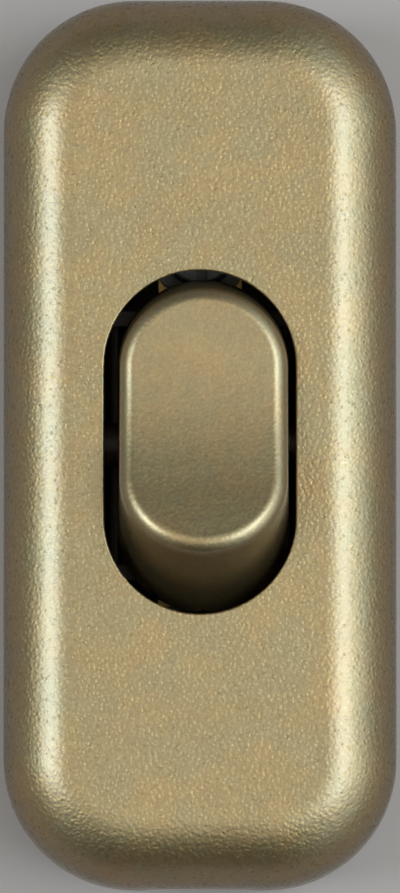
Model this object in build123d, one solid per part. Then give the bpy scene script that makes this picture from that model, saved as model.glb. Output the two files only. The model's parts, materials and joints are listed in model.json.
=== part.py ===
from build123d import *

import math
import os

# Inline cord switch: a two-part moulded housing that sits in a flexible mains cord, with a rocker on top.
#
# The rocker turns on two trunnions that snap into lugs under the cover. A sprung plunger in its stem
# slides over a see-saw blade and tips it on to the fixed contact or off it. The switched wire ends on
# two brass strips, one at each end of the mechanism. The neutral and earth wires join in brass blocks
# beside it. The cord is gripped at both ends between saddle ribs and a screwed bar.
#
# Frame: origin under the middle of the housing on the surface it stands on, X across, Y along, Z up.
# The rear end is +Y. At rest the rocker is pressed at its rear end and the contact is open.
# All sizes are in millimetres.

# Housing
body_length = 61.0
body_width = 27.0
corner_radius = 9.0
base_height = 8.0
cover_height = 9.0
wall = 1.8
floor_thickness = 1.8
ceiling_thickness = 1.8
cover_edge_round = 4.9
base_edge_round = 2.0
cover_draft = 1.5
base_draft = 2.5
parting_chamfer = 0.25

# Tongue on the base that fits a rebate in the cover
tongue_height = 1.0
tongue_thickness = 0.8
tongue_clearance = 0.1

# Cord entry, half in the cover and half in the base
cord_radius = 3.4
entry_radius = 3.8
entry_collar_length = 3.0
entry_collar_wall = 1.5
entry_chamfer = 0.4

# Rocker opening
opening_length = 23.35
opening_width = 13.0
opening_round = 0.15
opening_draft = 8.0

# Rocker, with heights measured from its pivot
pivot_depth = 5.0
rock_angle = 10.0
rocker_side_play = 0.25
rocker_crown_height = 7.5
rocker_skirt_drop = 0.5
rocker_length = 23.2
rocker_waist_height = 5.0
rocker_waist_length = 20.4
rocker_head_height = 9.8
rocker_head_length = 16.9
rocker_width = 11.7
rocker_head_width = 11.35
rocker_wall = 1.3
rocker_roof = 1.5
rocker_face_slope = 9.5
rocker_face_blend = 30.0
rocker_edge_round = 1.05

# Pivot
trunnion_radius = 1.5
trunnion_clearance = 0.06
lug_thickness = 1.5
lug_side_clearance = 0.9
lug_half_length = 3.2
lug_wall = 0.7
lug_slot_width = 2.5
cheek_radius = 2.4

# Plunger and its spring
stem_radius = 2.4
stem_drop = 3.2
plunger_radius = 1.45
plunger_clearance = 0.05
plunger_reach = 5.9
plunger_length = 5.3
plunger_travel = 0.8
spring_pocket_length = 4.4
spring_wire_radius = 0.2
spring_turns = 5
spring_end_clearance = 0.05

# See-saw blade
blade_thickness = 0.8
blade_width = 4.0
blade_contact_arm = 8.6
blade_tail = 6.0
blade_angle = 9.0
blade_air = 0.05
blade_tab_length = 1.1
blade_tab_width = 0.9
blade_tab_air = 0.12

# Contacts
contact_radius = 1.2
contact_height = 0.7
contact_y = 7.3
contact_air = 0.1

# Switched-wire strips
strip_thickness = 0.8
strip_width = 5.8
ear_thickness = 0.6
ear_half_length = 1.6
ear_rise = 1.2
ear_notch_width = 1.5
strip_pad_drop = 3.0
strip_pad_y = 13.5
strip_pad_half_length = 3.1
strip_bend_y = 9.8
strip_collar_radius = 2.2
strip_collar_drop = 1.2
wire_plate_thickness = 0.8
wire_plate_width = 5.6
wire_plate_length = 5.2
wire_plate_corner = 1.0

# Neutral and earth blocks
block_width = 4.2
block_height = 4.8
block_length = 15.0
block_shelf = 1.2
block_lip = 0.7
block_side_gap = 0.7
block_edge = 0.3
block_wire_radius = 1.3
block_screw_y = 5.0

# Screws, with shanks at the root of their threads
screw_root_radius = 1.2
screw_hole_clearance = 0.05
screw_free_clearance = 0.5
terminal_head_radius = 2.5
terminal_head_height = 1.8
terminal_screw_length = 4.4
block_head_radius = 1.9
block_head_height = 1.4
block_head_lift = 0.2
clamp_head_radius = 2.4
clamp_head_height = 1.8
clamp_screw_length = 7.6
housing_head_radius = 2.6
housing_head_height = 2.0
housing_head_recess = 0.25
housing_head_clearance = 0.15
housing_screw_length = 10.6
slot_width = 0.7
slot_depth = 0.8

# Housing screw bosses and locating pegs
boss_radius = 2.8
boss_foot_radius = 3.6
boss_foot_height = 3.4
boss_wall_gap = 0.6
boss_y = 12.0
peg_radius = 1.6
peg_height = 1.2
peg_clearance = 0.1
insert_radius = 2.0
insert_length = 5.5
insert_clearance = 0.05
insert_groove = 0.3
insert_groove_length = 1.2

# Cord clamps
clamp_inset = 9.5
clamp_post_x = 6.2
clamp_post_radius = 2.6
clamp_post_rise = 1.6
clamp_bar_thickness = 2.2
clamp_bar_width = 5.0
clamp_bar_end = 2.7
clamp_bar_end_flat = 0.6
clamp_arch_depth = 0.9
clamp_ridge_height = 0.5
clamp_ridge_width = 1.2
saddle_radius = 3.7
saddle_rib_width = 1.0
saddle_rib_spacing = 3.0

# Base ribs
barrier_thickness = 0.8
barrier_rise = 0.4
barrier_block_gap = 0.35
barrier_half_length = 9.0
guide_rib_thickness = 0.8
guide_rib_height = 1.5
fit_gap = 0.1
pedestal_thickness = 0.6
stop_air = 0.15
stop_reach = 1.8
stop_y = 8.7
stop_thickness = 1.0

# How far a cut runs past the face that it opens
overcut = 1.0

half_length = body_length / 2
half_width = body_width / 2
split_z = base_height
top_z = base_height + cover_height
ceiling_z = top_z - ceiling_thickness
pivot_z = top_z - pivot_depth
fulcrum_z = pivot_z - plunger_reach - blade_air - blade_thickness
strip_top_z = floor_thickness + strip_thickness
strip_pad_height = base_height - strip_pad_drop
clamp_y = half_length - clamp_inset
clamp_post_height = base_height + clamp_post_rise
barrier_height = base_height + barrier_rise
boss_x = half_width - wall - boss_wall_gap - boss_radius
block_x = half_width - wall - block_side_gap - block_width / 2
barrier_x = block_x - block_width / 2 - barrier_block_gap - barrier_thickness / 2
block_bottom_z = floor_thickness + block_shelf
block_top_z = block_bottom_z + block_height
lug_x = rocker_width / 2 + lug_side_clearance + lug_thickness / 2
entry_inner_y = half_length - entry_collar_length
screw_corners = ((boss_x, boss_y), (-boss_x, -boss_y))
peg_corners = ((-boss_x, boss_y), (boss_x, -boss_y))

rocker_place = Pos(rocker_side_play, 0, pivot_z) * Rot(-rock_angle, 0, 0)
blade_place = Pos(0, 0, fulcrum_z) * Rot(blade_angle, 0, 0)


def box(x, y, z):
    """A block between two values on each axis."""
    middle = Pos((x[0] + x[1]) / 2, (y[0] + y[1]) / 2, (z[0] + z[1]) / 2)
    return middle * Box(x[1] - x[0], y[1] - y[0], z[1] - z[0])


def post(x, y, z_low, z_high, radius):
    """An upright round post."""
    return Pos(x, y, (z_low + z_high) / 2) * Cylinder(radius, z_high - z_low)


def rod_along_y(z, y_low, y_high, radius):
    """A round rod along Y over the middle line."""
    return Pos(0, (y_low + y_high) / 2, z) * Rot(90, 0, 0) * Cylinder(radius, y_high - y_low)


def outline(z, inset=0.0):
    """The housing's outline at its split line, drawn at height z and taken in by an inset."""
    width = body_width - 2 * inset
    length = body_length - 2 * inset
    return Pos(0, 0, z) * RectangleRounded(width, length, corner_radius - inset)


def tongue_ring(z_low, z_high, outer_inset, inner_inset):
    """A ring that follows the outline, between two insets."""
    height = z_high - z_low
    return extrude(outline(z_low, outer_inset), height) - extrude(outline(z_low, inner_inset), height)


def entry_bores():
    """The cord holes through both end walls, with their chamfered mouths."""
    bores = rod_along_y(split_z, entry_inner_y - overcut, half_length + overcut, entry_radius)
    mouth_y = half_length - entry_chamfer
    mouth = Pos(0, mouth_y + overcut, split_z) * Rot(-90, 0, 0)
    mouth *= Cone(entry_radius + entry_chamfer - overcut, entry_radius + entry_chamfer + overcut, 2 * overcut)
    bores += mouth
    return bores + mirror(bores, Plane.XZ)


def entry_collars():
    """The rings of wall that lengthen both cord holes inside the housing."""
    radius = entry_radius + entry_collar_wall
    collar = rod_along_y(split_z, entry_inner_y, half_length - wall / 2, radius)
    return collar + mirror(collar, Plane.XZ)


def pan_screw(head_radius, head_height, shank_length):
    """A slotted screw on Z: the seat of its head is at 0 and its shank points down."""
    head = Pos(0, 0, head_height / 2) * Cylinder(head_radius, head_height)
    head = chamfer(head.edges().group_by(Axis.Z)[-1], head_height / 4)
    slot = Pos(0, 0, head_height) * Box(3 * head_radius, slot_width, 2 * slot_depth)
    shank = Pos(0, 0, -shank_length / 2) * Cylinder(screw_root_radius, shank_length)
    shank = chamfer(shank.edges().group_by(Axis.Z)[0], screw_root_radius / 3)
    return head - slot + shank


def make_top_cover():
    """The upper housing half: outer form, cavity, rocker opening, lugs, bosses and pegs."""
    solid = extrude(outline(split_z), cover_height, taper=cover_draft)
    solid = fillet(solid.faces().sort_by(Axis.Z)[-1].edges(), cover_edge_round)
    solid = chamfer(solid.faces().sort_by(Axis.Z)[0].edges(), parting_chamfer)
    envelope = solid

    cavity = extrude(outline(split_z, wall), cover_height - ceiling_thickness, taper=cover_draft)
    cavity = fillet(cavity.faces().sort_by(Axis.Z)[-1].edges(), cover_edge_round - wall)

    inside = entry_collars() & box(
        (-half_width, half_width), (-half_length, half_length), (split_z, ceiling_z)
    )
    for x, y in screw_corners + peg_corners:
        inside += post(x, y, split_z, ceiling_z + ceiling_thickness / 2, boss_radius)
    solid = solid - cavity + (inside & envelope)

    rebate_height = tongue_height + tongue_clearance
    rebate_outer = wall - tongue_thickness - 2 * tongue_clearance
    solid -= tongue_ring(split_z, split_z + rebate_height, rebate_outer, wall)

    solid += make_lugs()
    mouth = Pos(0, 0, top_z) * SlotOverall(opening_length, opening_width, rotation=90)
    solid -= extrude(mouth, -ceiling_thickness - overcut, taper=-opening_draft)
    rim = solid.faces().sort_by(Axis.Z)[-1].inner_wires().edges()
    solid = fillet(rim, opening_round)

    for x, y in screw_corners:
        hole_top = split_z + insert_length + overcut
        solid -= post(x, y, split_z, hole_top, insert_radius + insert_clearance)
    for x, y in peg_corners:
        solid += post(x, y, split_z - peg_height, split_z + overcut, peg_radius)
    return solid - entry_bores()


def make_lugs():
    """The two lugs under the cover that take the rocker's trunnions, each with its snap-in slot."""
    bearing_radius = trunnion_radius + trunnion_clearance
    low = pivot_z - bearing_radius - lug_wall
    lugs = Part()
    for side in (-1, 1):
        x = side * lug_x
        lug = box(
            (x - lug_thickness / 2, x + lug_thickness / 2),
            (-lug_half_length, lug_half_length),
            (low, ceiling_z + ceiling_thickness / 2),
        )
        bearing = Pos(x, 0, pivot_z) * Rot(0, 90, 0) * Cylinder(bearing_radius, 2 * lug_thickness)
        slot = box(
            (x - lug_thickness, x + lug_thickness),
            (-lug_slot_width / 2, lug_slot_width / 2),
            (low - overcut, pivot_z),
        )
        lugs += lug - bearing - slot
    return lugs


def make_base_cover():
    """The lower housing half: outer form, cavity, tongue, cord saddles, posts, ribs and recesses."""
    solid = extrude(outline(split_z), -base_height, taper=base_draft)
    solid = fillet(solid.faces().sort_by(Axis.Z)[0].edges(), base_edge_round)
    solid = chamfer(solid.faces().sort_by(Axis.Z)[-1].edges(), parting_chamfer)
    envelope = solid
    cavity = extrude(outline(split_z, wall), -(base_height - floor_thickness), taper=base_draft)
    solid -= cavity
    tongue_outer = wall - tongue_thickness
    solid += tongue_ring(split_z, split_z + tongue_height, tongue_outer, wall)

    inside = entry_collars() & box(
        (-half_width, half_width), (-half_length, half_length), (floor_thickness, split_z)
    )
    for x, y in screw_corners + peg_corners:
        inside += post(x, y, floor_thickness / 2, split_z, boss_radius)
    for x, y in screw_corners:
        inside += post(x, y, floor_thickness / 2, boss_foot_height, boss_foot_radius)
    inside += make_block_shelves()
    solid += inside & envelope
    solid += make_barriers() + make_strip_supports() + make_rocker_stops() + make_clamp_supports()

    head_hole = housing_head_radius + housing_head_clearance
    head_top = housing_head_recess + housing_head_height
    for x, y in screw_corners:
        solid -= post(x, y, -overcut, head_top, head_hole)
        solid -= post(x, y, 0, split_z + overcut, screw_root_radius + screw_free_clearance)
    peg_hole_low = split_z - peg_height - peg_clearance
    for x, y in peg_corners:
        solid -= post(x, y, peg_hole_low, split_z + overcut, peg_radius + peg_clearance)
    return solid - entry_bores()


def make_block_shelves():
    """The shelves under the neutral and earth blocks, with a lip at each end."""
    shelves = Part()
    lip_y = block_length / 2 + fit_gap
    lip_top = block_bottom_z + block_lip
    for side in (-1, 1):
        x = sorted((side * barrier_x, side * half_width))
        shelves += box(x, (-lip_y, lip_y), (floor_thickness / 2, block_bottom_z))
        for end in (-1, 1):
            y = sorted((end * lip_y, end * (lip_y + barrier_thickness)))
            shelves += box(x, y, (floor_thickness / 2, lip_top))
    return shelves


def make_barriers():
    """The two insulating walls between the mechanism and the blocks."""
    walls = Part()
    for side in (-1, 1):
        x = sorted((side * (barrier_x - barrier_thickness / 2), side * (barrier_x + barrier_thickness / 2)))
        walls += box(x, (-barrier_half_length, barrier_half_length), (floor_thickness / 2, barrier_height))
    return walls


def make_strip_supports():
    """The guide ribs along both strips and the pedestals under their raised pads."""
    ribs = Part()
    guide_x = strip_width / 2 + fit_gap
    pad_low = strip_pad_y - strip_pad_half_length
    pad_high = strip_pad_y + strip_pad_half_length
    for side in (-1, 1):
        guide = sorted((side * guide_x, side * (guide_x + guide_rib_thickness)))
        guide_top = floor_thickness + guide_rib_height
        ribs += box(guide, (-strip_bend_y, strip_bend_y), (floor_thickness / 2, guide_top))
        leg = sorted((side * strip_width / 2, side * (strip_width / 2 - pedestal_thickness)))
        for end in (-1, 1):
            span = sorted((end * (pad_low + strip_thickness), end * pad_high))
            ribs += box(leg, span, (floor_thickness / 2, strip_pad_height))
    return ribs


def make_rocker_stops():
    """The ribs that the rocker's skirt comes down on, inside the two barriers."""
    tilt = math.radians(rock_angle)
    outer_y = stop_y + stop_thickness / 2
    top = pivot_z - outer_y * math.tan(tilt) - rocker_skirt_drop / math.cos(tilt) - stop_air
    stops = Part()
    for side in (-1, 1):
        x = sorted((side * barrier_x, side * (barrier_x - stop_reach)))
        for end in (-1, 1):
            y = sorted((end * outer_y, end * (stop_y - stop_thickness / 2)))
            stops += box(x, y, (floor_thickness / 2, top))
    return stops


def make_clamp_supports():
    """The cord saddles and the screw posts beside them, at both ends."""
    supports = Part()
    cord = rod_along_y(split_z, 0, half_length, saddle_radius)
    for rib in (-1, 1):
        y = clamp_y + rib * saddle_rib_spacing / 2
        supports += box(
            (-clamp_post_x, clamp_post_x),
            (y - saddle_rib_width / 2, y + saddle_rib_width / 2),
            (floor_thickness / 2, split_z),
        )
    supports -= cord
    for side in (-1, 1):
        x = side * clamp_post_x
        supports += post(x, clamp_y, floor_thickness / 2, clamp_post_height, clamp_post_radius)
        low = clamp_post_height + clamp_bar_thickness - clamp_screw_length - overcut
        high = clamp_post_height + overcut
        supports -= post(x, clamp_y, low, high, screw_root_radius + screw_hole_clearance)
    return supports + mirror(supports, Plane.XZ)


def rocker_section(z, length, width):
    """One obround section of the rocker."""
    return Pos(0, 0, z) * SlotOverall(length, width, rotation=90)


def face_cutter():
    """The block above the rocker's shallow V face: two flats joined by a wide arc."""
    slope = math.radians(rocker_face_slope)
    blend_y = rocker_face_blend * math.sin(slope)
    blend_z = rocker_crown_height + rocker_face_blend * (1 - math.cos(slope))
    end_y = rocker_length
    end_z = blend_z + (end_y - blend_y) * math.tan(slope)
    top = end_z + 5
    dip = ThreePointArc((-blend_y, blend_z), (0, rocker_crown_height), (blend_y, blend_z))
    rest = Polyline(
        (blend_y, blend_z), (end_y, end_z), (end_y, top), (-end_y, top), (-end_y, end_z), (-blend_y, blend_z)
    )
    face = make_face(Plane.YZ * (Curve() + [dip, rest]))
    return extrude(face, body_width / 2, both=True)


def make_rocker():
    """The rocker, built level about its pivot: lofted body, V face, hollow, stem, cheeks and trunnions."""
    body = loft(
        [
            rocker_section(-rocker_skirt_drop, rocker_length, rocker_width),
            rocker_section(rocker_waist_height, rocker_waist_length, (rocker_width + rocker_head_width) / 2),
            rocker_section(rocker_head_height, rocker_head_length, rocker_head_width),
        ]
    )
    body -= face_cutter()
    rim = body.faces().filter_by(lambda f: f.normal_at().Z > 0.9).edges()
    outer_rim = [e for e in rim if rim.count(e) == 1]
    body = fillet(outer_rim, rocker_edge_round)

    roof_z = rocker_crown_height - rocker_roof
    taken = 2 * rocker_wall
    hollow = loft(
        [
            rocker_section(-rocker_skirt_drop, rocker_length - taken, rocker_width - taken),
            rocker_section(roof_z, rocker_waist_length - taken, rocker_head_width - taken),
        ]
    )
    body -= hollow

    stem = post(0, 0, -stem_drop, roof_z + rocker_roof / 2, stem_radius)
    inner_x = rocker_width / 2 - rocker_wall / 2
    web = box((-inner_x, inner_x), (-rocker_wall / 2, rocker_wall / 2), (0, roof_z + rocker_roof / 2))
    body += stem + web
    for side in (-1, 1):
        cheek = Pos(side * (rocker_width - rocker_wall) / 2, 0, 0) * Rot(0, 90, 0)
        body += cheek * Cylinder(cheek_radius, rocker_wall)
        pin_length = rocker_wall + lug_side_clearance + lug_thickness
        pin_x = rocker_width / 2 - rocker_wall + pin_length / 2
        body += Pos(side * pin_x, 0, 0) * Rot(0, 90, 0) * Cylinder(trunnion_radius, pin_length)
    pocket_top = plunger_length - plunger_reach + spring_pocket_length
    body -= post(0, 0, -stem_drop - overcut, pocket_top, plunger_radius + plunger_clearance)
    return rocker_place * body


def make_plunger():
    """The round-nosed pin that slides in the rocker's stem."""
    shank_low = -plunger_reach + plunger_radius
    pin = post(0, 0, shank_low, plunger_length - plunger_reach, plunger_radius)
    pin += Pos(0, 0, shank_low) * Sphere(plunger_radius)
    return rocker_place * pin


def make_plunger_spring():
    """The compression spring between the plunger and the end of its bore."""
    low = plunger_length - plunger_reach + spring_end_clearance + spring_wire_radius
    height = spring_pocket_length - 2 * (spring_end_clearance + spring_wire_radius)
    coil_radius = plunger_radius - spring_wire_radius - spring_end_clearance
    path = Helix(pitch=height / spring_turns, height=height, radius=coil_radius)
    start = path @ 0
    wire = Plane(origin=start, z_dir=path % 0) * Circle(spring_wire_radius)
    coil = sweep(wire, path=path)
    return rocker_place * Pos(0, 0, low) * coil


def make_contact_blade():
    """The see-saw blade, level about its fulcrum, with two side tabs that lie in the ears' notches."""
    half = blade_width / 2
    blade = box((-half, half), (-blade_tail, blade_contact_arm), (0, blade_thickness))
    corners = blade.edges().filter_by(Axis.Z)
    blade = fillet(corners, half / 2)
    reach = half + blade_tab_length
    blade += box((-reach, reach), (-blade_tab_width / 2, blade_tab_width / 2), (0, blade_thickness))
    return blade_place * blade


def make_blade_contact_tip():
    """The silver contact under the blade's free end."""
    tip = Pos(0, contact_y, -contact_height / 2) * Cylinder(contact_radius, contact_height)
    tip = fillet(tip.edges().group_by(Axis.Z)[0], contact_height / 3)
    return blade_place * tip


def strip_profile(inner_y):
    """Side view of a strip: flat on the floor, a bend, then the raised pad."""
    low = floor_thickness
    high = strip_pad_height
    pad_start = strip_pad_y - strip_pad_half_length
    pad_end = strip_pad_y + strip_pad_half_length
    t = strip_thickness
    points = (
        (inner_y, low),
        (pad_start, low),
        (pad_start, high),
        (pad_end, high),
        (pad_end, high + t),
        (pad_start - t, high + t),
        (pad_start - t, low + t),
        (inner_y, low + t),
    )
    face = make_face(Plane.YZ * Polyline(*points, close=True))
    return extrude(face, strip_width / 2, both=True)


def make_terminal_strip(inner_y):
    """A rear terminal strip with the drawn and threaded hole in its pad."""
    strip = strip_profile(inner_y)
    collar_low = strip_pad_height - strip_collar_drop
    strip += post(0, strip_pad_y, collar_low, strip_pad_height, strip_collar_radius)
    hole = screw_root_radius + screw_hole_clearance
    high = strip_pad_height + strip_thickness + overcut
    return strip - post(0, strip_pad_y, collar_low - overcut, high, hole)


def make_load_terminal():
    """The strip that carries the fixed contact."""
    return make_terminal_strip(contact_y - contact_radius - strip_thickness)


def make_common_terminal():
    """The strip that carries the blade in two notched ears."""
    strip = mirror(make_terminal_strip(-ear_half_length), Plane.XZ)
    notch_z = fulcrum_z - blade_tab_air
    for side in (-1, 1):
        ear_x = sorted((side * strip_width / 2, side * (strip_width / 2 - ear_thickness)))
        ear = box(ear_x, (-ear_half_length, ear_half_length), (floor_thickness, fulcrum_z + ear_rise))
        notch = box(
            (-strip_width, strip_width),
            (-ear_notch_width / 2, ear_notch_width / 2),
            (notch_z, fulcrum_z + 2 * ear_rise),
        )
        strip += ear - notch
    return strip


def make_fixed_contact_tip():
    """The silver contact on the load strip."""
    tilt = math.radians(blade_angle)
    closed_z = fulcrum_z - (contact_y + contact_radius) * math.sin(tilt) - contact_height * math.cos(tilt)
    tip = post(0, contact_y, strip_top_z, closed_z - contact_air, contact_radius)
    return tip


def make_wire_plate(end):
    """A plate that presses the wire on a strip's pad."""
    low = strip_pad_height + strip_thickness
    y = end * strip_pad_y
    plate = Pos(0, y, low + wire_plate_thickness / 2)
    plate *= Box(wire_plate_width, wire_plate_length, wire_plate_thickness)
    plate = fillet(plate.edges().filter_by(Axis.Z), wire_plate_corner)
    high = low + wire_plate_thickness + overcut
    return plate - post(0, y, low - overcut, high, screw_root_radius + screw_free_clearance / 2)


def make_terminal_screw(end):
    """The screw of a strip's wire plate."""
    seat = strip_pad_height + strip_thickness + wire_plate_thickness
    screw = pan_screw(terminal_head_radius, terminal_head_height, terminal_screw_length)
    return Pos(0, end * strip_pad_y, seat) * screw


def make_through_terminal(side):
    """A brass block with a wire hole along it and two threaded holes from above."""
    x = side * block_x
    block = Pos(x, 0, block_bottom_z + block_height / 2) * Box(block_width, block_length, block_height)
    block = chamfer(block.edges().filter_by(Axis.Y), block_edge)
    wire_z = block_bottom_z + block_height / 2
    block -= Pos(x, 0, wire_z) * Rot(90, 0, 0) * Cylinder(block_wire_radius, block_length + 2 * overcut)
    for end in (-1, 1):
        hole = screw_root_radius + screw_hole_clearance
        block -= post(x, end * block_screw_y, wire_z, block_top_z + overcut, hole)
    return block


def make_through_screws(side):
    """The two wire screws of a through block."""
    seat = block_top_z + block_head_lift
    shank = block_height / 2 + block_head_lift - block_wire_radius / 2
    screw = pan_screw(block_head_radius, block_head_height, shank)
    return Part() + [Pos(side * block_x, end * block_screw_y, seat) * screw for end in (-1, 1)]


def make_cord_clamp(end):
    """The bar that presses the cord on its saddle, with a ridge across the middle."""
    y = end * clamp_y
    reach = clamp_post_x + clamp_bar_end
    low = clamp_post_height
    bar = Pos(0, y, low + clamp_bar_thickness / 2) * Box(2 * reach, clamp_bar_width, clamp_bar_thickness)
    bar = fillet(bar.edges().filter_by(Axis.Z), (clamp_bar_width - clamp_bar_end_flat) / 2)
    arch = Pos(0, y, low - saddle_radius + clamp_arch_depth) * Rot(90, 0, 0)
    bar -= arch * Cylinder(saddle_radius, clamp_bar_width + 2 * overcut)
    ridge = box(
        (-saddle_radius / 2, saddle_radius / 2),
        (y - clamp_ridge_width / 2, y + clamp_ridge_width / 2),
        (low, low + clamp_bar_thickness / 2),
    )
    bar += ridge
    for side in (-1, 1):
        hole = screw_root_radius + screw_free_clearance
        bar -= post(side * clamp_post_x, y, low - overcut, low + clamp_bar_thickness + overcut, hole)
    return bar


def make_clamp_screws(end):
    """The two screws of a cord clamp."""
    seat = clamp_post_height + clamp_bar_thickness
    screw = pan_screw(clamp_head_radius, clamp_head_height, clamp_screw_length)
    return Part() + [Pos(side * clamp_post_x, end * clamp_y, seat) * screw for side in (-1, 1)]


def make_housing_screws():
    """The two screws that hold the housing together, driven from below."""
    seat = housing_head_recess + housing_head_height
    screw = pan_screw(housing_head_radius, housing_head_height, housing_screw_length)
    return Part() + [Pos(x, y, seat) * Rot(180, 0, 0) * screw for x, y in screw_corners]


def make_cover_inserts():
    """The two threaded brass bushes moulded into the cover's bosses."""
    inserts = []
    for x, y in screw_corners:
        bush = post(x, y, split_z, split_z + insert_length, insert_radius)
        middle = split_z + insert_length / 2
        low = middle - insert_groove_length / 2
        high = middle + insert_groove_length / 2
        ring = post(x, y, low, high, insert_radius + overcut)
        ring -= post(x, y, low, high, insert_radius - insert_groove)
        bush -= ring
        bush -= post(x, y, split_z - overcut, top_z, screw_root_radius + screw_hole_clearance)
        inserts.append(bush)
    return Part() + inserts


parts = {
    "top_cover": make_top_cover,
    "base_cover": make_base_cover,
    "cover_inserts": make_cover_inserts,
    "housing_screws": make_housing_screws,
    "rocker": make_rocker,
    "plunger": make_plunger,
    "plunger_spring": make_plunger_spring,
    "contact_blade": make_contact_blade,
    "blade_contact_tip": make_blade_contact_tip,
    "common_terminal": make_common_terminal,
    "load_terminal": make_load_terminal,
    "fixed_contact_tip": make_fixed_contact_tip,
    "common_wire_plate": lambda: make_wire_plate(-1),
    "load_wire_plate": lambda: make_wire_plate(1),
    "common_terminal_screw": lambda: make_terminal_screw(-1),
    "load_terminal_screw": lambda: make_terminal_screw(1),
    "neutral_terminal": lambda: make_through_terminal(-1),
    "earth_terminal": lambda: make_through_terminal(1),
    "neutral_terminal_screws": lambda: make_through_screws(-1),
    "earth_terminal_screws": lambda: make_through_screws(1),
    "front_cord_clamp": lambda: make_cord_clamp(-1),
    "rear_cord_clamp": lambda: make_cord_clamp(1),
    "front_clamp_screws": lambda: make_clamp_screws(-1),
    "rear_clamp_screws": lambda: make_clamp_screws(1),
}

os.makedirs("parts", exist_ok=True)
for name, make in parts.items():
    export_step(make(), f"parts/{name}.step")
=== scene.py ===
"""Finish and studio scene for an inline cord switch, laid out as an add-on and run as a script."""

import json
import math

import bmesh
import bpy
from mathutils import Matrix, Vector

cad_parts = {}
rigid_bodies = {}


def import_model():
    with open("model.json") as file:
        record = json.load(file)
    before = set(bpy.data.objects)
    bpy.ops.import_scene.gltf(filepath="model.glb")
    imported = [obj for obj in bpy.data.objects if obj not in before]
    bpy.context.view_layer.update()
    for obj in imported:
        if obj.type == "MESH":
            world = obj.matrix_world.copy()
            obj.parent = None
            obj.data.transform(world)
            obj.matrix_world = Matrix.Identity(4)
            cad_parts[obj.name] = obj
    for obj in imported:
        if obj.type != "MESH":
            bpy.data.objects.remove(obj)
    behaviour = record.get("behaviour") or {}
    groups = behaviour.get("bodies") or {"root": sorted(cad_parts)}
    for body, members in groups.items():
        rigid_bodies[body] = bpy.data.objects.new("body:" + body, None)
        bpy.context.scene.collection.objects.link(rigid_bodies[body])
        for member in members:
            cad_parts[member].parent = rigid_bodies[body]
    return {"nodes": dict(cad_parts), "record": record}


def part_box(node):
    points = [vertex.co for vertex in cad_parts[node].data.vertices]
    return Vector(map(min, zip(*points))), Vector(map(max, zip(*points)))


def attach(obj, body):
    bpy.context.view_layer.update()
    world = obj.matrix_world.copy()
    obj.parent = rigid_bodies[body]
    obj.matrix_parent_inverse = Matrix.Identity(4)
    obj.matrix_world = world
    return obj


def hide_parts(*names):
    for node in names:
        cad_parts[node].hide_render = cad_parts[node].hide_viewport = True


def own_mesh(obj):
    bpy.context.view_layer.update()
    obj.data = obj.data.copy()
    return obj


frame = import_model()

bl_info = {
    "name": "Inline Cord Switch",
    "version": (1, 0, 0),
    "blender": (4, 5, 0),
    "location": "3D View > Sidebar > Cord Switch",
    "description": "Dresses the solids of an inline cord switch and sets up its studio",
    "category": "Object",
}

MM = 0.001
HOUSING = "housing"
ROCKER = "rocker_button"
PLUNGER = "plunger_pin"
BLADE = "blade"

# Places closer than this count as the same
NEAR = 0.05 * MM
# Corners of a solid's triangles closer than this become one, and faces that turn by fewer degrees
# than this become one flat face
SAME_CORNER = 0.0001 * MM
FLAT_TURN = 0.2
# Least Z, up or down, of the normal of a face that counts as level
LEVEL = 0.9
# Edges that turn by more than this many degrees stay sharp
SHELL_SHARP = 32
PIECE_SHARP = 40
# How far below its raised end the rocker's face reaches
ROCKER_FACE_DROP = 4.5 * MM

# Radius and height of each kind of screw's head
TERMINAL_HEAD = (2.5 * MM, 1.8 * MM)
BLOCK_HEAD = (1.9 * MM, 1.4 * MM)
CLAMP_HEAD = (2.4 * MM, 1.8 * MM)
HOUSING_HEAD = (2.6 * MM, 2.0 * MM)
# Radius of a screw's end as a share of its thread's root
END_TAPER = 0.65
# Each screw's slot is turned this many degrees further than the last
SLOT_STEP = 47
# Sides of a screw's head or a closed coil, of the spring's wire and of a thread, and the steps in
# one turn of a thread or a spring
ROUND_SIDES = 48
WIRE_SIDES = 12
THREAD_SIDES = 3
TURN_STEPS = 32

# Sizes of the lacquer's broad patches of hue and dullness, of its pores and of their clusters
HUE_PATCH = 3.2 * MM
DULL_PATCH = 5 * MM
PORE = 0.42 * MM
PORE_CLUSTER = 1.7 * MM

# Width of the studio's floor, in metres
FLOOR_WIDTH = 30


def top_of(node):
    """The height of a node's highest point at rest."""
    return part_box(node)[1].z


def tint(name, text, colour):
    """A colour setting. The lamps' colour may pass 1."""
    return bpy.props.FloatVectorProperty(
        name=name, description=text, default=colour, size=3, subtype="COLOR", min=0, soft_max=1
    )


def length(name, text, millimetres):
    """A length setting, given in millimetres and kept in metres."""
    return bpy.props.FloatProperty(
        name=name, description=text, default=millimetres * MM, unit="LENGTH", precision=5
    )


def angle(name, text, degrees):
    """An angle setting, given in degrees."""
    return bpy.props.FloatProperty(
        name=name, description=text, default=math.radians(degrees), subtype="ANGLE"
    )


def number(name, text, value):
    """A plain setting without a unit."""
    return bpy.props.FloatProperty(name=name, description=text, default=value)


def count(name, text, value):
    """A whole number of one or more."""
    return bpy.props.IntProperty(name=name, description=text, default=value, min=1)


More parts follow.
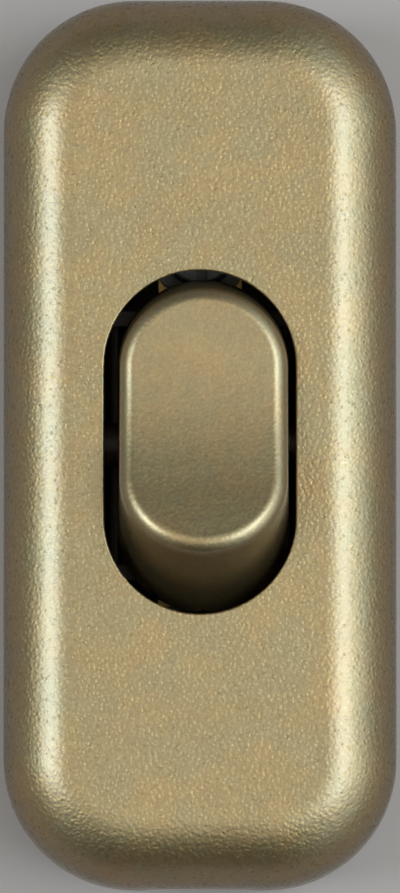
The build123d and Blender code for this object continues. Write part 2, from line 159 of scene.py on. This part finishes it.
class CordSwitchFinish(bpy.types.PropertyGroup):
    """Colours and surface sizes of the switch's finishes."""

    gold: tint("Gold lacquer", "Lacquer on the housing and the rocker", (0.309, 0.208, 0.093))
    gold_edge: tint("Gold edge", "Lacquer seen at a grazing angle", (0.04, 0.035, 0.018))
    gold_glint: tint("Gold glint", "Brightest flakes in the lacquer", (0.62, 0.52, 0.36))
    brown: tint("Moulding", "Bare plastic inside", (0.035, 0.016, 0.009))
    brass: tint("Brass", "Terminals and inserts", (0.72, 0.5, 0.2))
    bronze: tint("Bronze", "Contact blade", (0.66, 0.38, 0.19))
    steel: tint("Zinc plate", "Screws and wire plates", (0.34, 0.34, 0.35))
    wire: tint("Spring wire", "Plunger spring", (0.42, 0.42, 0.43))
    silver: tint("Silver", "Contact tips", (0.78, 0.77, 0.74))
    ivory: tint("Ivory", "Plunger", (0.74, 0.7, 0.58))
    grain: length("Grain", "Width of one grain of the housing's texture", 0.24)
    grain_depth: length("Grain depth", "Height of the housing's texture", 0.037)


class CordSwitchHardware(bpy.types.PropertyGroup):
    """Sizes of the screws, the spring and the softened edges."""

    pitch: length("Thread pitch", "Rise of a thread in one turn", 0.5)
    root: length("Thread root", "Radius at the bottom of a thread", 1.2)
    crest: length("Thread crest", "Height of a thread over its root", 0.2)
    tip: length("Screw tip", "Length of the narrowed end of a screw", 0.4)
    slot_width: length("Slot width", "Width of a screw's slot", 0.7)
    slot_depth: length("Slot depth", "Depth of a screw's slot", 0.8)
    wire_radius: length("Wire radius", "Half the thickness of the spring's wire", 0.2)
    coil_radius: length("Coil radius", "Radius of the middle of the spring's wire", 1.2)
    coils: count("Coils", "Turns of the spring between its closed ends", 4)
    edge: length("Edge", "Width of the softened edges of stamped and turned pieces", 0.07)
    fine_edge: length("Fine edge", "Width of the softened edges of moulded clamps", 0.12)


class CordSwitchStage(bpy.types.PropertyGroup):
    """Camera, lights and floor."""

    distance: length("Camera distance", "From the camera to the aim point", 1000)
    tilt: angle("Camera tilt", "Lean of the camera towards the raised end of the rocker", 2.0)
    view_height: length("View height", "Length that fills the picture's height", 61.35)
    aim_drop: length("Aim drop", "Depth of the aim point under the base cover's top", 1.6)
    left_angle: angle("Left light", "Angle of the left strip light from overhead", 41.5)
    right_angle: angle("Right light", "Angle of the right strip light from overhead", 31)
    left_width: length("Left light width", "Width of the left strip light", 760)
    right_width: length("Right light width", "Width of the right strip light", 1350)
    lamp_length: length("Light length", "Length of both strip lights", 800)
    lamp_distance: length("Light distance", "From each strip light to the aim point", 2000)
    left_radiance: number("Left light level", "Radiance of the left strip light", 11.7)
    right_radiance: number("Right light level", "Radiance of the right strip light", 8)
    horizon: number("Horizon", "Brightness of the room level with the switch", 0.44)
    ceiling: number("Ceiling", "Brightness of the room above the horizon", 0.04)
    side: number("Side", "Extra brightness of the room on the right and beyond the far end", 0.24)
    left_glow: number("Left glow", "Brightness of the room low on the left", 0.6)
    right_glow: number("Right glow", "Brightness of the room low on the right", 1.65)
    zenith: number("Zenith", "Brightness of the room overhead", 0.8)
    lamp: tint("Lamp", "Colour of the strip lights", (0.79, 0.98, 1.03))
    sky: tint("Sky", "Colour of the room overhead", (1.0, 0.925, 0.76))
    floor: tint("Floor", "Colour of the floor", (0.352, 0.29, 0.277))


class Value:
    """A shader socket that takes part in Python expressions."""

    def __init__(self, graph, socket):
        self.graph = graph
        self.socket = socket

    def _math(self, operation, first, second):
        return self.graph.add("ShaderNodeMath", {"operation": operation}, {0: first, 1: second})

    def __add__(self, other):
        return self._math("ADD", self, other)

    __radd__ = __add__

    def __sub__(self, other):
        return self._math("SUBTRACT", self, other)

    def __rsub__(self, other):
        return self._math("SUBTRACT", other, self)

    def __mul__(self, other):
        return self._math("MULTIPLY", self, other)

    __rmul__ = __mul__

    def step(self, low, high):
        """0 below low, 1 above high, smooth between them."""
        inputs = {"Value": self, "From Min": low, "From Max": high}
        return self.graph.add("ShaderNodeMapRange", {"interpolation_type": "SMOOTHSTEP"}, inputs)


class Graph:
    """The node tree of one material or world."""

    def __init__(self, owner):
        self.owner = owner
        owner.use_nodes = True
        self.tree = owner.node_tree
        self.tree.nodes.clear()

    def add(self, kind, settings=None, inputs=None, output=0):
        """One output of a new node. Its settings are made before its sockets are set or linked."""
        node = self.tree.nodes.new(kind)
        for key, value in (settings or {}).items():
            setattr(node, key, value)
        for key, value in (inputs or {}).items():
            socket = node.inputs[key]
            if isinstance(value, Value):
                self.tree.links.new(value.socket, socket)
            else:
                socket.default_value = value
        return Value(self, node.outputs[output])

    def place(self, output="Object"):
        """Object coordinates, or another output of the coordinate node."""
        return self.add("ShaderNodeTexCoord", output=output)

    def noise(self, size, detail=2.0, roughness=0.5, stretch=(1, 1, 1)):
        """Soft noise whose blobs are about size across."""
        where = self.place()
        if stretch != (1, 1, 1):
            where = self.add("ShaderNodeMapping", None, {"Vector": where, "Scale": stretch})
        inputs = {"Vector": where, "Scale": 1 / size, "Detail": detail, "Roughness": roughness}
        return self.add("ShaderNodeTexNoise", None, inputs)

    def cells(self, size, output="Distance"):
        """Cells about size across: distance to the nearest centre, or one random colour each."""
        inputs = {"Vector": self.place(), "Scale": 1 / size}
        return self.add("ShaderNodeTexVoronoi", None, inputs, output)

    def red(self, colour):
        """The first channel of a colour."""
        return self.add("ShaderNodeSeparateColor", None, {"Color": colour}, "Red")

    def mix(self, first, second, factor):
        """A colour between two."""
        inputs = {"Factor": factor, 6: rgba(first), 7: rgba(second)}
        return self.add("ShaderNodeMix", {"data_type": "RGBA"}, inputs, 2)

    def shade(self, colour, factor):
        """A colour multiplied by a grey number."""
        channels = {"Red": factor, "Green": factor, "Blue": factor}
        grey = self.add("ShaderNodeCombineColor", None, channels)
        inputs = {"Factor": 1.0, 6: rgba(colour), 7: grey}
        return self.add("ShaderNodeMix", {"data_type": "RGBA", "blend_type": "MULTIPLY"}, inputs, 2)

    def bump(self, height, depth):
        """A normal from a height of 0 to 1 and the depth that 1 stands for."""
        inputs = {"Height": height, "Distance": depth, "Strength": 1.0}
        return self.add("ShaderNodeBump", None, inputs)

    def end(self, kind, shader):
        """Ends the tree in its output node."""
        end = self.tree.nodes.new(kind)
        self.tree.links.new(shader.socket, end.inputs["Surface"])
        return self.owner

    def surface(self, **sockets):
        """Ends a material in a Principled shader. Socket names are written with underscores."""
        inputs = {name.replace("_", " "): value for name, value in sockets.items()}
        shader = self.add("ShaderNodeBsdfPrincipled", None, inputs)
        return self.end("ShaderNodeOutputMaterial", shader)


def rgba(colour):
    """A plain colour with its alpha, or a link as it is."""
    return colour if isinstance(colour, Value) else (*colour[:3], 1.0)


def scaled(colour, factors):
    """A plain colour with each channel multiplied."""
    return [channel * factor for channel, factor in zip(colour, factors)]


def finish_settings():
    return bpy.context.scene.cord_switch_finish


def hardware_settings():
    return bpy.context.scene.cord_switch_hardware


def gold_lacquer(name, texture):
    """Satin gold lacquer with grain, pits and glints. texture is 1 on the housing, and less on the
    rocker."""
    looks = finish_settings()
    size = looks.grain
    g = Graph(bpy.data.materials.new(name))

    # Relief: grain, specks and pebbles, with pits and clustered pores
    grain = g.noise(size, 2, 0.6)
    speck = g.noise(size * 0.45, 1, 0.5)
    pebble = 1 - g.cells(size * 1.3).step(0.0, 0.75)
    pit = 1 - g.cells(size * 1.7).step(0.12, 0.42)
    pits = pit * g.noise(size * 2.2, 1).step(0.35, 0.6) * texture
    pore = 1 - g.cells(PORE).step(0.06, 0.2)
    pores = pore * g.noise(PORE_CLUSTER, 1).step(0.52, 0.66) * texture
    height = pebble * 0.5 + grain * 0.7 + speck * 0.2 - pores * 0.6 - pits * 0.3

    # Colour: warm, green and dull patches with pale glints; painted light and shade, lighter on the
    # tops of the grain, specks and pebbles and darker in their dips; random lighter clouds; brown in
    # the pores
    warm = scaled(looks.gold, (1.06, 0.99, 0.9))
    green = scaled(looks.gold, (0.94, 1.0, 1.02))
    dull = scaled(looks.gold, (0.9, 0.9, 0.88))
    hue = g.noise(HUE_PATCH, 2).step(0.35, 0.65)
    dullness = g.noise(DULL_PATCH, 2).step(0.35, 0.65) * 0.5
    glint = g.red(g.cells(size * 0.7, "Color")).step(0.86, 1.0) * 0.1 * texture
    cloud = g.noise(size * 4, 2, 0.6)
    # Painted shade of the relief: the grain, specks and pebbles that raise the bump also lighten the
    # colour
    light = 0.53 + 0.32 * grain + 0.26 * speck + 0.2 * cloud + 0.08 * pebble
    colour = g.mix(g.mix(warm, green, hue), dull, dullness)
    colour = g.shade(g.mix(colour, looks.gold_glint, glint), light)
    colour = g.mix(colour, looks.brown, pores * 0.4)

    return g.surface(
        Base_Color=colour,
        Metallic=1.0,
        Roughness=0.375 + 0.035 * texture + 0.12 * grain + 0.1 * pores,
        Specular_Tint=rgba(looks.gold_edge),
        Coat_Weight=1 - 0.75 * pits,
        Coat_Roughness=0.33,
        Coat_IOR=1.62,
        Normal=g.bump(height, looks.grain_depth * texture),
    )


def brown_moulding():
    """Bare dark plastic, with the faint texture of a tool's inner face."""
    looks = finish_settings()
    g = Graph(bpy.data.materials.new("brown_moulding"))
    cloud = g.noise(1.5 * MM, 3)
    fine = g.noise(0.12 * MM, 2)
    return g.surface(
        Base_Color=g.shade(looks.brown, 0.8 + 0.4 * cloud),
        Roughness=0.36 + 0.16 * fine + 0.08 * cloud,
        Normal=g.bump(fine, 0.004 * MM),
    )


def bare_metal(name, colour, roughness, tarnish, dull, lines):
    """Metal with tool or roll lines and a little tarnish. lines scales the lines' pattern on each axis,
    and dull is the strength of the tarnish."""
    g = Graph(bpy.data.materials.new(name))
    drawn = g.noise(0.5 * MM, 3, 0.6, lines)
    cloud = g.noise(1.1 * MM, 3, 0.6)
    spots = g.noise(0.35 * MM, 2).step(0.62, 0.75)
    base = g.mix(colour, tarnish, cloud.step(0.45, 0.8) * dull)
    base = g.mix(base, tarnish, spots * dull * 0.6)
    return g.surface(
        Base_Color=base,
        Metallic=1.0,
        Roughness=roughness + 0.12 * drawn + 0.12 * cloud,
        Normal=g.bump(drawn, 0.003 * MM),
    )


def ivory_plastic():
    """Smooth moulded plunger."""
    looks = finish_settings()
    g = Graph(bpy.data.materials.new("moulded_ivory"))
    cloud = g.noise(0.8 * MM, 2)
    return g.surface(
        Base_Color=g.shade(looks.ivory, 0.92 + 0.12 * cloud),
        Roughness=0.3 + 0.1 * cloud,
        Subsurface_Weight=0.1,
        Subsurface_Scale=0.5 * MM,
    )


def material(name):
    """The named finish, made on first use."""
    found = bpy.data.materials.get(name)
    if found:
        return found
    looks = finish_settings()

    def metal(colour, roughness, tarnish, dull, lines=(1, 1, 1)):
        return lambda: bare_metal(name, colour, roughness, tarnish, dull, lines)

    makers = {
        "housing_lacquer": lambda: gold_lacquer(name, 1.0),
        "rocker_lacquer": lambda: gold_lacquer(name, 0.3),
        "brown_moulding": brown_moulding,
        "stamped_brass": metal(looks.brass, 0.24, (0.3, 0.17, 0.06), 0.5, lines=(1, 0.06, 1)),
        "rolled_bronze": metal(looks.bronze, 0.22, (0.25, 0.11, 0.05), 0.4, lines=(1, 0.05, 1)),
        "zinc_plate": metal(looks.steel, 0.46, (0.2, 0.2, 0.18), 0.4),
        "spring_wire": metal(looks.wire, 0.25, (0.2, 0.19, 0.17), 0.5),
        "contact_silver": metal(looks.silver, 0.2, (0.4, 0.38, 0.33), 0.5),
        "moulded_ivory": ivory_plastic,
    }
    return makers[name]()


def select_only(piece):
    """Deselects everything and makes one piece active."""
    if bpy.context.mode != "OBJECT":
        bpy.ops.object.mode_set(mode="OBJECT")
    bpy.ops.object.select_all(action="DESELECT")
    piece.select_set(True)
    bpy.context.view_layer.objects.active = piece


def pick(piece, kind, is_wanted):
    """Enters edit mode with only the wanted faces or edges selected. kind is FACE or EDGE."""
    select_only(piece)
    bpy.ops.object.mode_set(mode="EDIT")
    bpy.ops.mesh.select_mode(type=kind)
    bpy.ops.mesh.select_all(action="DESELECT")
    mesh = bmesh.from_edit_mesh(piece.data)
    mesh.normal_update()
    for item in mesh.faces if kind == "FACE" else mesh.edges:
        if is_wanted(item):
            item.select_set(True)
    bmesh.update_edit_mesh(piece.data)


def leave_edit():
    bpy.ops.object.mode_set(mode="OBJECT")


def apply_modifier(piece, kind, **settings):
    """Adds a modifier, sets it and applies it."""
    select_only(piece)
    modifier = piece.modifiers.new(kind.title(), kind)
    for key, value in settings.items():
        setattr(modifier, key, value)
    bpy.ops.object.modifier_apply(modifier=modifier.name)


def smooth(piece, degrees):
    """Smooth shading up to an angle, with flat faces kept flat."""
    select_only(piece)
    bpy.ops.object.shade_smooth_by_angle(angle=math.radians(degrees))
    apply_modifier(piece, "WEIGHTED_NORMAL", keep_sharp=True, weight=90)


def soften(piece, width):
    """A narrow bevel on each sharp edge, then smooth shading."""
    apply_modifier(
        piece,
        "BEVEL",
        width=width,
        segments=2,
        limit_method="ANGLE",
        angle_limit=math.radians(PIECE_SHARP),
        use_clamp_overlap=True,
    )
    smooth(piece, PIECE_SHARP)


def outward(piece):
    """Turns every face's normal outward."""
    pick(piece, "FACE", lambda face: True)
    bpy.ops.mesh.normals_make_consistent(inside=False)
    leave_edit()


def join(name, pieces):
    """One piece from several."""
    select_only(pieces[0])
    for piece in pieces:
        piece.select_set(True)
    if len(pieces) > 1:
        bpy.ops.object.join()
    pieces[0].name = name
    return pieces[0]


def placed_copy(piece, matrix):
    """A copy with its own mesh, moved in place and then applied."""
    copy = piece.copy()
    copy.data = piece.data.copy()
    bpy.context.scene.collection.objects.link(copy)
    copy.matrix_world = matrix
    select_only(copy)
    bpy.ops.object.transform_apply(location=True, rotation=True, scale=True)
    return copy


def drop(piece):
    """Deletes a pattern or a cutter."""
    select_only(piece)
    bpy.ops.object.delete()


def merged_copy(node, name):
    """A copy of a solid's mesh with its triangles joined and its flat areas made one face each."""
    piece = bpy.data.objects.new(name, frame["nodes"][node].data.copy())
    bpy.context.scene.collection.objects.link(piece)
    piece.data.materials.clear()
    pick(piece, "FACE", lambda face: True)
    bpy.ops.mesh.remove_doubles(threshold=SAME_CORNER)
    bpy.ops.mesh.dissolve_limited(angle_limit=math.radians(FLAT_TURN))
    leave_edit()
    return piece


def stands_for(piece, nodes, body):
    """Ties a finished piece to its body and hides the solids it stands for."""
    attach(piece, body)
    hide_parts(*nodes)


def lacquer_outside(piece, lacquer, is_seed):
    """Paints all that joins smoothly on to the seed faces, and leaves the rest bare."""
    piece.data.materials.append(material("brown_moulding"))
    piece.data.materials.append(material(lacquer))
    pick(piece, "FACE", is_seed)
    bpy.ops.mesh.select_linked(delimit={"SHARP"})
    piece.active_material_index = 1
    bpy.ops.object.material_slot_assign()
    leave_edit()


def dress(node, look, body, width):
    """A softened copy of one solid in its finish."""
    piece = merged_copy(node, f"{node}_piece")
    soften(piece, width)
    piece.data.materials.append(material(look))
    stands_for(piece, [node], body)


class CORDSWITCH_OT_covers(bpy.types.Operator):
    """Dress the two housing halves in lacquer outside and bare plastic inside"""

    bl_idname = "cord_switch.covers"
    bl_label = "Housing Covers"

    def execute(self, context):
        for node in ("top_cover", "base_cover"):
            piece = merged_copy(node, f"{node}_shell")
            smooth(piece, SHELL_SHARP)
            low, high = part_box(node)
            outer_z = high.z if node == "top_cover" else low.z

            def is_seed(face):
                is_outer = abs(face.calc_center_median().z - outer_z) < NEAR
                return is_outer and abs(face.normal.z) > LEVEL

            lacquer_outside(piece, "housing_lacquer", is_seed)
            stands_for(piece, [node], HOUSING)
        return {"FINISHED"}


class CORDSWITCH_OT_rocker(bpy.types.Operator):
    """Dress the rocker in lacquer that is smoother than the housing's"""

    bl_idname = "cord_switch.rocker"
    bl_label = "Rocker"

    def execute(self, context):
        piece = merged_copy("rocker", "rocker_key")
        smooth(piece, SHELL_SHARP)
        face_z = top_of("rocker") - ROCKER_FACE_DROP

        def is_seed(face):
            return face.calc_center_median().z > face_z and face.normal.z > LEVEL

        lacquer_outside(piece, "rocker_lacquer", is_seed)
        stands_for(piece, ["rocker"], ROCKER)
        return {"FINISHED"}


class CORDSWITCH_OT_terminals(bpy.types.Operator):
    """Dress the brass strips, the through blocks, the wire plates and the fixed contact"""

    bl_idname = "cord_switch.terminals"
    bl_label = "Terminals"

    def execute(self, context):
        edge = hardware_settings().edge
        for node in ("common_terminal", "load_terminal", "neutral_terminal", "earth_terminal"):
            dress(node, "stamped_brass", HOUSING, edge)
        for node in ("common_wire_plate", "load_wire_plate"):
            dress(node, "zinc_plate", HOUSING, edge)
        dress("fixed_contact_tip", "contact_silver", HOUSING, edge)
        return {"FINISHED"}


class CORDSWITCH_OT_blade(bpy.types.Operator):
    """Dress the see-saw blade, its contact and the plunger"""

    bl_idname = "cord_switch.blade"
    bl_label = "Blade and Plunger"

    def execute(self, context):
        edge = hardware_settings().edge
        dress("contact_blade", "rolled_bronze", BLADE, edge)
        dress("blade_contact_tip", "contact_silver", BLADE, edge)
        dress("plunger", "moulded_ivory", PLUNGER, edge)
        return {"FINISHED"}


class CORDSWITCH_OT_inserts(bpy.types.Operator):
    """Dress the threaded bushes in the cover"""

    bl_idname = "cord_switch.inserts"
    bl_label = "Cover Inserts"

    def execute(self, context):
        dress("cover_inserts", "stamped_brass", HOUSING, hardware_settings().edge)
        return {"FINISHED"}


class CORDSWITCH_OT_clamps(bpy.types.Operator):
    """Dress the two cord clamps"""

    bl_idname = "cord_switch.clamps"
    bl_label = "Cord Clamps"

    def execute(self, context):
        for node in ("front_cord_clamp", "rear_cord_clamp"):
            dress(node, "brown_moulding", HOUSING, hardware_settings().fine_edge)
        return {"FINISHED"}


def wire_tube(name, radius, sides, start, turns, pitch):
    """A closed tube that climbs round Z from start, which lies in the XZ plane."""
    upright = (math.radians(90), math.radians(90), 0)
    bpy.ops.mesh.primitive_circle_add(
        vertices=sides, radius=radius, rotation=upright, location=start
    )
    tube = bpy.context.object
    tube.name = name
    bpy.ops.object.transform_apply(location=True, rotation=True, scale=True)
    apply_modifier(
        tube,
        "SCREW",
        axis="Z",
        angle=math.radians(360),
        iterations=turns,
        screw_offset=pitch,
        steps=TURN_STEPS,
        render_steps=TURN_STEPS,
    )
    pick(tube, "EDGE", lambda edge: edge.is_boundary)
    bpy.ops.mesh.fill_holes(sides=sides)
    leave_edit()
    outward(tube)
    return tube


def slotted_screw(head_radius, head_height, shank_length):
    """A slotted pan screw on Z: the seat of its head is at 0 and its threaded shank points down."""
    sizes = hardware_settings()
    middle = (0, 0, head_height / 2)
    bpy.ops.mesh.primitive_cylinder_add(
        vertices=ROUND_SIDES, radius=head_radius, depth=head_height, location=middle
    )
    screw = bpy.context.object
    bpy.ops.object.transform_apply(location=True, rotation=True, scale=True)

    def is_rim(edge):
        return all(vertex.co.z > head_height - NEAR for vertex in edge.verts)

    pick(screw, "EDGE", is_rim)
    bpy.ops.mesh.bevel(offset=head_height / 4, segments=3, profile=0.5, affect="EDGES")
    leave_edit()

    pick(screw, "FACE", lambda face: face.normal.z < -LEVEL)
    bpy.ops.mesh.inset(thickness=head_radius - sizes.root, depth=0)
    for way_down in (shank_length - sizes.tip, sizes.tip):
        bpy.ops.mesh.extrude_region_move(TRANSFORM_OT_translate={"value": (0, 0, -way_down)})
    end = (0, 0, -shank_length)
    bpy.ops.transform.resize(value=(END_TAPER, END_TAPER, 1), center_override=end)
    leave_edit()
    outward(screw)

    # The slot's cutter is longer than the head is wide, and its lower half lies in the head
    bpy.ops.mesh.primitive_cube_add(size=1, location=(0, 0, head_height))
    cutter = bpy.context.object
    cutter.scale = (3 * head_radius, sizes.slot_width, 2 * sizes.slot_depth)
    bpy.ops.object.transform_apply(location=True, rotation=True, scale=True)
    apply_modifier(screw, "BOOLEAN", operation="DIFFERENCE", object=cutter, solver="EXACT")
    drop(cutter)
    soften(screw, sizes.edge)

    low = -shank_length + sizes.tip + sizes.crest
    turns = int((-low - 2 * sizes.crest) / sizes.pitch)
    start = (sizes.root, 0, low)
    thread = wire_tube("thread", sizes.crest, THREAD_SIDES, start, turns, sizes.pitch)
    smooth(thread, PIECE_SHARP)
    return join("screw_pattern", [screw, thread])


class CORDSWITCH_OT_screws(bpy.types.Operator):
    """Model the slotted screws, one pattern for each size, and set them in their holes"""

    bl_idname = "cord_switch.screws"
    bl_label = "Screws"

    def execute(self, context):
        families = (
            (("common_terminal_screw", "load_terminal_screw"), TERMINAL_HEAD, True),
            (("neutral_terminal_screws", "earth_terminal_screws"), BLOCK_HEAD, True),
            (("front_clamp_screws", "rear_clamp_screws"), CLAMP_HEAD, True),
            (("housing_screws",), HOUSING_HEAD, False),
        )
        slot_turn = 0
        for nodes, (radius, height), head_up in families:
            low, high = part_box(nodes[0])
            pattern = slotted_screw(radius, height, high.z - low.z - height)
            tip_over = Matrix.Rotation(0 if head_up else math.pi, 4, "X")
            for node in nodes:
                low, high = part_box(node)
                seat_z = high.z - height if head_up else low.z + height
                first = Vector((low.x + radius, low.y + radius, seat_z))
                last = Vector((high.x - radius, high.y - radius, seat_z))
                places = [first] if (first - last).length < 2 * NEAR else [first, last]
                screws = []
                for place in places:
                    slot_turn += SLOT_STEP
                    turn = Matrix.Rotation(math.radians(slot_turn), 4, "Z")
                    screws.append(placed_copy(pattern, Matrix.Translation(place) @ tip_over @ turn))
                piece = join(f"{node}_set", screws)
                piece.data.materials.append(material("zinc_plate"))
                stands_for(piece, [node], HOUSING)
            drop(pattern)
        return {"FINISHED"}


class CORDSWITCH_OT_spring(bpy.types.Operator):
    """Model the plunger's spring, closed at each end"""

    bl_idname = "cord_switch.spring"
    bl_label = "Plunger Spring"

    def execute(self, context):
        sizes = hardware_settings()
        joints = {joint["name"]: joint for joint in frame["record"]["behaviour"]["joints"]}
        slide = joints["plunger_slide"]
        axis = Vector(slide["axis"])
        low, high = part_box("plunger_spring")
        centre = (low + high) / 2
        wire = sizes.wire_radius
        slant = math.asin(axis.y)
        span = high.z - low.z - 2 * (sizes.coil_radius + wire) * math.sin(slant)
        height = span / math.cos(slant) - 2 * wire
        start = (sizes.coil_radius, 0, -height / 2 + wire)
        pitch = (height - 2 * wire) / sizes.coils
        coil = wire_tube("coil", wire, WIRE_SIDES, start, sizes.coils, pitch)
        coils = [coil]
        for end in (-1, 1):
            bpy.ops.mesh.primitive_torus_add(
                major_radius=sizes.coil_radius,
                minor_radius=wire,
                major_segments=ROUND_SIDES,
                minor_segments=WIRE_SIDES,
                location=(0, 0, end * height / 2),
            )
            coils.append(bpy.context.object)
            bpy.ops.object.transform_apply(location=True, rotation=True, scale=True)
        coil = join("coil", coils)
        smooth(coil, PIECE_SHARP)
        lean = Matrix.Rotation(-slant, 4, "X")
        piece = placed_copy(coil, Matrix.Translation(centre) @ lean)
        piece.name = "plunger_spring_wire"
        drop(coil)
        piece.data.materials.append(material("spring_wire"))
        stands_for(piece, ["plunger_spring"], ROCKER)
        full = height + 2 * wire
        seat = centre + axis * full / 2
        1 - slide["range_m"][1] / full
        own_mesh(piece)
        return {"FINISHED"}


def strip_light(name, angle_from_top, width, radiance, stage, target):
    """A long soft light beside the camera, at an angle from overhead."""
    bpy.ops.object.light_add(type="AREA")
    lamp = bpy.context.object
    lamp.name = name
    lamp.data.shape = "RECTANGLE"
    lamp.data.size = width
    lamp.data.size_y = stage.lamp_length
    lamp.data.color = stage.lamp
    lamp.data.energy = radiance * width * stage.lamp_length * math.pi
    away = Vector((math.sin(angle_from_top), 0, math.cos(angle_from_top)))
    lamp.location = target + away * stage.lamp_distance
    lamp.rotation_euler = away.to_track_quat("Z", "Y").to_euler()


def studio_world(stage):
    """A dim room with a pale band at the horizon, which the floor runs into, a glow low on the left and
    on the right, and a soft patch overhead."""
    g = Graph(bpy.data.worlds.new("studio"))
    across, along, up = [
        g.add("ShaderNodeSeparateXYZ", None, {"Vector": g.place("Generated")}, name) for name in "XYZ"
    ]
    right_and_far = (across * 0.9 + along * 0.7).step(-0.1, 0.9)
    right = across.step(0.3, 0.8)
    left = (0 - across).step(0.3, 0.8)
    over_horizon = up.step(0.02, 0.09)
    belt = up.step(0.05, 0.5) * (1 - up.step(0.7, 0.85))
    overhead = up.step(0.8, 0.97)

    wall = stage.ceiling + right_and_far * stage.side
    level = stage.horizon + over_horizon * (wall - stage.horizon)
    level = level + belt * (right * stage.right_glow + left * stage.left_glow)
    level = level + overhead * stage.zenith
    colour = g.mix((1, 1, 1), stage.lamp, up.step(0.02, 0.2))
    colour = g.mix(colour, stage.sky, overhead)
    sky = g.add("ShaderNodeBackground", None, {"Color": colour, "Strength": level})
    return g.end("ShaderNodeOutputWorld", sky)


class CORDSWITCH_OT_stage(bpy.types.Operator):
    """Set up the floor, the soft lights, the world and the camera"""

    bl_idname = "cord_switch.stage"
    bl_label = "Studio"

    def execute(self, context):
        stage = context.scene.cord_switch_stage
        target = Vector((0, 0, top_of("base_cover") - stage.aim_drop))

        bpy.ops.mesh.primitive_plane_add(size=FLOOR_WIDTH)
        floor = context.object
        floor.name = "studio_floor"
        g = Graph(bpy.data.materials.new("studio_floor"))
        colour = g.shade(stage.floor, 0.985 + 0.03 * g.noise(60 * MM, 2))
        matt = g.surface(Base_Color=colour, Roughness=0.9, Specular_IOR_Level=0.1)
        floor.data.materials.append(matt)

        strips = (
            ("left_strip", -stage.left_angle, stage.left_width, stage.left_radiance),
            ("right_strip", stage.right_angle, stage.right_width, stage.right_radiance),
        )
        for strip in strips:
            strip_light(*strip, stage, target)
        context.scene.world = studio_world(stage)

        data = bpy.data.cameras.new("camera")
        camera = bpy.data.objects.new("camera", data)
        context.scene.collection.objects.link(camera)
        away = Vector((0, -math.sin(stage.tilt), math.cos(stage.tilt)))
        camera.location = target + away * stage.distance
        camera.rotation_euler = away.to_track_quat("Z", "Y").to_euler()
        data.sensor_width = 36
        data.lens = data.sensor_width * stage.distance / stage.view_height
        data.clip_start = 0.01
        context.scene.camera = camera
        context.scene.view_settings.view_transform = "Standard"
        return {"FINISHED"}


class CORDSWITCH_PT_panel(bpy.types.Panel):
    """The switch's pieces and settings in the sidebar."""

    bl_label = "Inline Cord Switch"
    bl_idname = "CORDSWITCH_PT_panel"
    bl_space_type = "VIEW_3D"
    bl_region_type = "UI"
    bl_category = "Cord Switch"

    def draw(self, context):
        layout = self.layout
        for operator in OPERATORS:
            layout.operator(operator.bl_idname)
        for group_name, group in GROUPS.items():
            settings = getattr(context.scene, group_name)
            for name in group.__annotations__:
                layout.prop(settings, name)


OPERATORS = (
    CORDSWITCH_OT_covers,
    CORDSWITCH_OT_rocker,
    CORDSWITCH_OT_terminals,
    CORDSWITCH_OT_blade,
    CORDSWITCH_OT_inserts,
    CORDSWITCH_OT_clamps,
    CORDSWITCH_OT_screws,
    CORDSWITCH_OT_spring,
    CORDSWITCH_OT_stage,
)
GROUPS = {
    "cord_switch_finish": CordSwitchFinish,
    "cord_switch_hardware": CordSwitchHardware,
    "cord_switch_stage": CordSwitchStage,
}


def register():
    for name, group in GROUPS.items():
        bpy.utils.register_class(group)
        setattr(bpy.types.Scene, name, bpy.props.PointerProperty(type=group))
    for operator in OPERATORS:
        bpy.utils.register_class(operator)
    bpy.utils.register_class(CORDSWITCH_PT_panel)


def unregister():
    bpy.utils.unregister_class(CORDSWITCH_PT_panel)
    for operator in reversed(OPERATORS):
        bpy.utils.unregister_class(operator)
    for name, group in GROUPS.items():
        delattr(bpy.types.Scene, name)
        bpy.utils.unregister_class(group)


def main():
    """Makes every piece and the stage."""
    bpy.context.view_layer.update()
    register()
    for operator in OPERATORS:
        family, name = operator.bl_idname.split(".")
        getattr(getattr(bpy.ops, family), name)()


if __name__ == "__main__":
    main()
